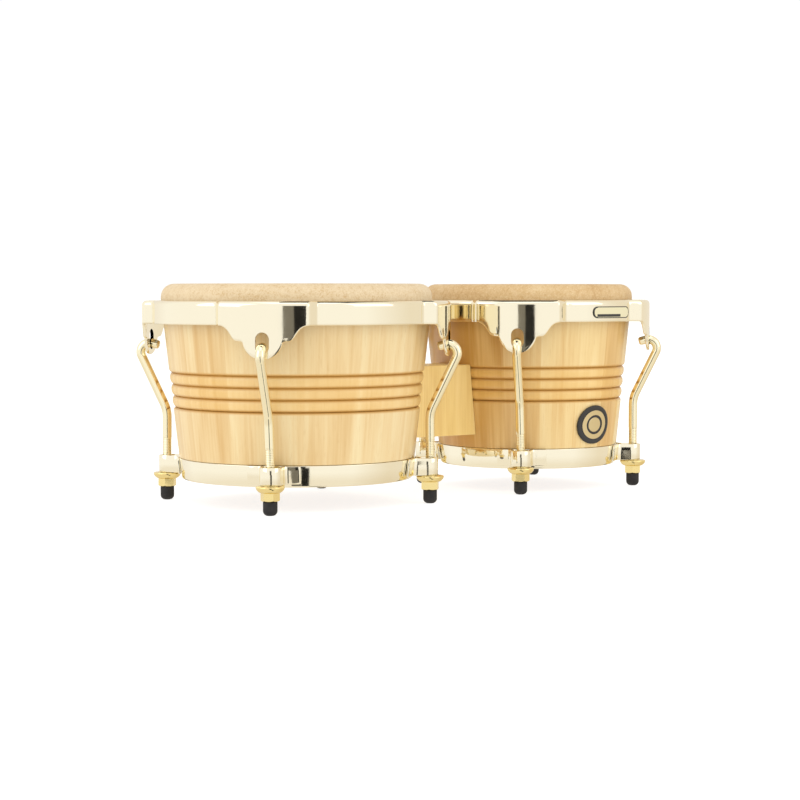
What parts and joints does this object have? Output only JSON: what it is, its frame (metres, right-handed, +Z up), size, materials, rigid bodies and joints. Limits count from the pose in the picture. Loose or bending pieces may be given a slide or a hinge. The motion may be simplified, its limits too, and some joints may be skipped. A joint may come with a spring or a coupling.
{
  "type": "bongo drums",
  "caption": "Pair of joined hand drums: conical wooden shells, natural skin heads, hooked tuning rods and rubber feet.",
  "frame": {"origin": "centre of the bounding box, on the plane that the rubber feet stand on", "axes": "+X from the large drum (hembra) to the small drum (macho), +Y to the back, away from the badge, +Z up"},
  "size_m": [0.4378, 0.222, 0.168],
  "materials": {
    "shell_wood": "clear satin lacquer on pale hardwood staves",
    "block_wood": "clear satin lacquer on solid hardwood",
    "natural_skin": "scraped natural rawhide, dry",
    "gold_plate": "polished pale gold plating on steel",
    "zinc_steel": "zinc plated steel",
    "black_rubber": "moulded black rubber",
    "badge_metal": "black enamel and brushed metal"
  },
  "bodies": {
    "frame": {"hembra_shell": "shell_wood", "hembra_head": "natural_skin", "hembra_bottom_ring": "gold_plate", "hembra_lug_1": "gold_plate", "hembra_lug_2": "gold_plate", "hembra_lug_3": "gold_plate", "hembra_lug_4": "gold_plate", "macho_shell": "shell_wood", "macho_head": "natural_skin", "macho_bottom_ring": "gold_plate", "macho_lug_1": "gold_plate", "macho_lug_2": "gold_plate", "macho_lug_3": "gold_plate", "macho_lug_4": "gold_plate", "macho_badge": "badge_metal", "centre_block": "block_wood", "upper_bolt": "zinc_steel", "upper_bolt_washer_hembra": "zinc_steel", "upper_bolt_washer_macho": "zinc_steel", "upper_bolt_nut": "zinc_steel", "lower_bolt": "zinc_steel", "lower_bolt_washer_hembra": "zinc_steel", "lower_bolt_washer_macho": "zinc_steel", "lower_bolt_nut": "zinc_steel"},
    "hembra_tension_set": {"hembra_rim": "gold_plate", "hembra_flesh_hoop": "zinc_steel", "hembra_rod_1": "gold_plate", "hembra_rod_2": "gold_plate", "hembra_rod_3": "gold_plate", "hembra_rod_4": "gold_plate", "hembra_foot_1": "black_rubber", "hembra_foot_2": "black_rubber", "hembra_foot_3": "black_rubber", "hembra_foot_4": "black_rubber"},
    "macho_tension_set": {"macho_rim": "gold_plate", "macho_flesh_hoop": "zinc_steel", "macho_rod_1": "gold_plate", "macho_rod_2": "gold_plate", "macho_rod_3": "gold_plate", "macho_rod_4": "gold_plate", "macho_foot_1": "black_rubber", "macho_foot_2": "black_rubber", "macho_foot_3": "black_rubber", "macho_foot_4": "black_rubber"},
    "hembra_tuner_1": {"hembra_nut_1": "gold_plate"},
    "hembra_tuner_2": {"hembra_nut_2": "gold_plate"},
    "hembra_tuner_3": {"hembra_nut_3": "gold_plate"},
    "hembra_tuner_4": {"hembra_nut_4": "gold_plate"},
    "macho_tuner_1": {"macho_nut_1": "gold_plate"},
    "macho_tuner_2": {"macho_nut_2": "gold_plate"},
    "macho_tuner_3": {"macho_nut_3": "gold_plate"},
    "macho_tuner_4": {"macho_nut_4": "gold_plate"}
  },
  "joints": [
    {"name": "hembra_tuning", "type": "slide", "parent": "frame", "child": "hembra_tension_set", "axis": [0, 0, -1], "range_m": [0, 0.005]},
    {"name": "macho_tuning", "type": "slide", "parent": "frame", "child": "macho_tension_set", "axis": [0, 0, -1], "range_m": [0, 0.005]},
    {"name": "hembra_nut_1_turn", "type": "hinge", "parent": "frame", "child": "hembra_tuner_1", "pos_m": [-0.18102, -0.07311, 0.016], "axis": [0, 0, 1], "range_deg": [0, 1441]},
    {"name": "hembra_nut_2_turn", "type": "hinge", "parent": "frame", "child": "hembra_tuner_2", "pos_m": [-0.03479, -0.07311, 0.016], "axis": [0, 0, 1], "range_deg": [0, 1441]},
    {"name": "hembra_nut_3_turn", "type": "hinge", "parent": "frame", "child": "hembra_tuner_3", "pos_m": [-0.03479, 0.07311, 0.016], "axis": [0, 0, 1], "range_deg": [0, 1441]},
    {"name": "hembra_nut_4_turn", "type": "hinge", "parent": "frame", "child": "hembra_tuner_4", "pos_m": [-0.18102, 0.07311, 0.016], "axis": [0, 0, 1], "range_deg": [0, 1441]},
    {"name": "macho_nut_1_turn", "type": "hinge", "parent": "frame", "child": "macho_tuner_1", "pos_m": [0.06398, -0.06373, 0.016], "axis": [0, 0, 1], "range_deg": [0, 1441]},
    {"name": "macho_nut_2_turn", "type": "hinge", "parent": "frame", "child": "macho_tuner_2", "pos_m": [0.18883, -0.06112, 0.016], "axis": [0, 0, 1], "range_deg": [0, 1441]},
    {"name": "macho_nut_3_turn", "type": "hinge", "parent": "frame", "child": "macho_tuner_3", "pos_m": [0.18622, 0.06373, 0.016], "axis": [0, 0, 1], "range_deg": [0, 1441]},
    {"name": "macho_nut_4_turn", "type": "hinge", "parent": "frame", "child": "macho_tuner_4", "pos_m": [0.06137, 0.06112, 0.016], "axis": [0, 0, 1], "range_deg": [0, 1441]}
  ],
  "couplings": [
    {"joint": "hembra_nut_1_turn", "follows": "hembra_tuning", "rad_per_m": 5026.5},
    {"joint": "hembra_nut_2_turn", "follows": "hembra_tuning", "rad_per_m": 5026.5},
    {"joint": "hembra_nut_3_turn", "follows": "hembra_tuning", "rad_per_m": 5026.5},
    {"joint": "hembra_nut_4_turn", "follows": "hembra_tuning", "rad_per_m": 5026.5},
    {"joint": "macho_nut_1_turn", "follows": "macho_tuning", "rad_per_m": 5026.5},
    {"joint": "macho_nut_2_turn", "follows": "macho_tuning", "rad_per_m": 5026.5},
    {"joint": "macho_nut_3_turn", "follows": "macho_tuning", "rad_per_m": 5026.5},
    {"joint": "macho_nut_4_turn", "follows": "macho_tuning", "rad_per_m": 5026.5}
  ]
}
